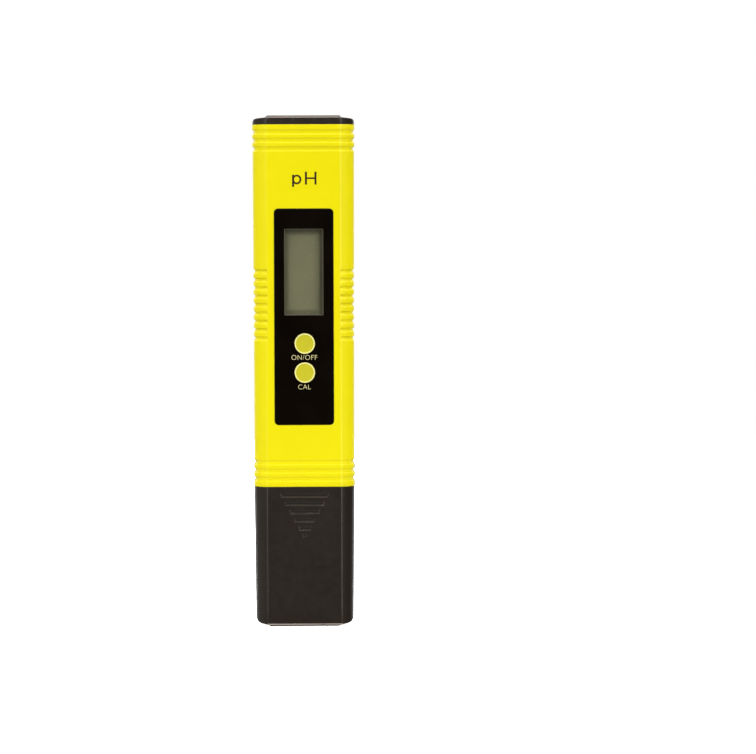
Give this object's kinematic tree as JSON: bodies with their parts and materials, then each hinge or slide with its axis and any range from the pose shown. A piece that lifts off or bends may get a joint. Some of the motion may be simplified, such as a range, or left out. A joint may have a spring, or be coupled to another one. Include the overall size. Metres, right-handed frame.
{
  "type": "digital ph meter",
  "caption": "Pen-type pocket pH meter: yellow case with ring grooves, gloss black display panel, round keys, black pocket clip, pull-out battery drawer and pull-off cap over a glass electrode.",
  "frame": {"origin": "centre of the flat at the bottom of the probe cap, on which the meter stands", "axes": "+Z along the length from the probe cap to the battery end, +Y towards the pocket clip, front panel faces -Y, +X to the right seen from the front"},
  "size_m": [0.0312, 0.0223, 0.155],
  "materials": {
    "yellow_shell": "satin moulded ABS with fine texture on the grooves",
    "panel_gloss": "high gloss black",
    "clear_window": "clear acrylic",
    "lcd_film": "grey-green polariser film",
    "lcd_glass": "thin glass",
    "lcd_reflector": "silver-grey reflector film",
    "frame_plastic": "black moulded frame",
    "zebra_rubber": "striped elastomer",
    "board_green": "green solder mask",
    "zinc_steel": "zinc plated",
    "chip_epoxy": "black epoxy",
    "can_metal": "tinned",
    "smd_ceramic": "matt ceramic",
    "switch_plastic": "black moulded",
    "key_yellow": "satin yellow",
    "spring_steel": "bright",
    "inner_plastic": "natural ABS",
    "screw_brass": "dull yellow zinc",
    "black_plastic": "satin black moulded",
    "cell_steel": "nickel plated",
    "contact_bronze": "phosphor bronze",
    "electrode_glass": "blown glass",
    "silver": "silver, grey chloride tip",
    "stainless": "ground stainless",
    "porous_ceramic": "white porous",
    "lead_white": "insulation",
    "lead_black": "insulation",
    "lead_blue": "insulation",
    "lead_red": "insulation",
    "potting_epoxy": "cast epoxy",
    "clip_black": "satin black moulded"
  },
  "bodies": {
    "case": {"housing": "yellow_shell", "front_overlay": "panel_gloss", "display_lens": "clear_window", "lcd_front_polarizer": "lcd_film", "lcd_front_glass": "lcd_glass", "lcd_rear_glass": "lcd_glass", "lcd_rear_polarizer": "lcd_reflector", "lcd_frame": "frame_plastic", "zebra_strip": "zebra_rubber", "circuit_board": "board_green", "board_screws": "zinc_steel", "controller_chip": "chip_epoxy", "op_amp": "chip_epoxy", "crystal": "can_metal", "smd_components": "smd_ceramic", "switch_bodies": "switch_plastic", "switch_covers": "can_metal", "switch_domes": "spring_steel", "chassis": "inner_plastic", "chassis_screw": "screw_brass", "battery_contact_left": "contact_bronze", "battery_contact_right": "contact_bronze", "electrode_holder": "black_plastic", "electrode_guard": "black_plastic", "glass_electrode": "electrode_glass", "silver_wire": "silver", "temperature_probe": "stainless", "reference_junction": "porous_ceramic", "electrode_lead": "lead_white", "reference_lead": "lead_black", "temperature_lead": "lead_blue", "battery_lead_red": "lead_red", "battery_lead_black": "lead_black", "potting_seal": "potting_epoxy"},
    "cap": {"probe_cap": "black_plastic"},
    "drawer": {"battery_drawer": "black_plastic", "battery_cell_left": "cell_steel", "battery_cell_right": "cell_steel"},
    "latch": {"drawer_latch": "black_plastic"},
    "on_off_key": {"on_off_button": "key_yellow"},
    "on_off_plunger": {"on_off_switch_plunger": "switch_plastic"},
    "cal_key": {"cal_button": "key_yellow"},
    "cal_plunger": {"cal_switch_plunger": "switch_plastic"},
    "clip": {"pocket_clip": "clip_black"}
  },
  "joints": [
    {"name": "cap_pull", "type": "slide", "parent": "cap", "child": "case", "axis": [0, 0, 1], "range_m": [0, 0.033]},
    {"name": "drawer_slide", "type": "slide", "parent": "case", "child": "drawer", "axis": [0, 0, 1], "range_m": [0, 0.02]},
    {"name": "latch_press", "type": "hinge", "parent": "drawer", "child": "latch", "pos_m": [0, 0.0065, 0.1496], "axis": [-1, 0, 0], "range_deg": [0, 2.2]},
    {"name": "on_off_press", "type": "slide", "parent": "case", "child": "on_off_key", "axis": [0, 1, 0], "range_m": [0, 0.0003]},
    {"name": "on_off_plunger_travel", "type": "slide", "parent": "case", "child": "on_off_plunger", "axis": [0, 1, 0], "range_m": [0, 0.0003]},
    {"name": "cal_press", "type": "slide", "parent": "case", "child": "cal_key", "axis": [0, 1, 0], "range_m": [0, 0.0003]},
    {"name": "cal_plunger_travel", "type": "slide", "parent": "case", "child": "cal_plunger", "axis": [0, 1, 0], "range_m": [0, 0.0003]},
    {"name": "clip_flex", "type": "hinge", "parent": "case", "child": "clip", "pos_m": [0, 0.00875, 0.1233], "axis": [1, 0, 0], "range_deg": [0, 6]}
  ],
  "couplings": [
    {"joint": "on_off_plunger_travel", "follows": "on_off_press", "ratio": 1},
    {"joint": "cal_plunger_travel", "follows": "cal_press", "ratio": 1}
  ]
}
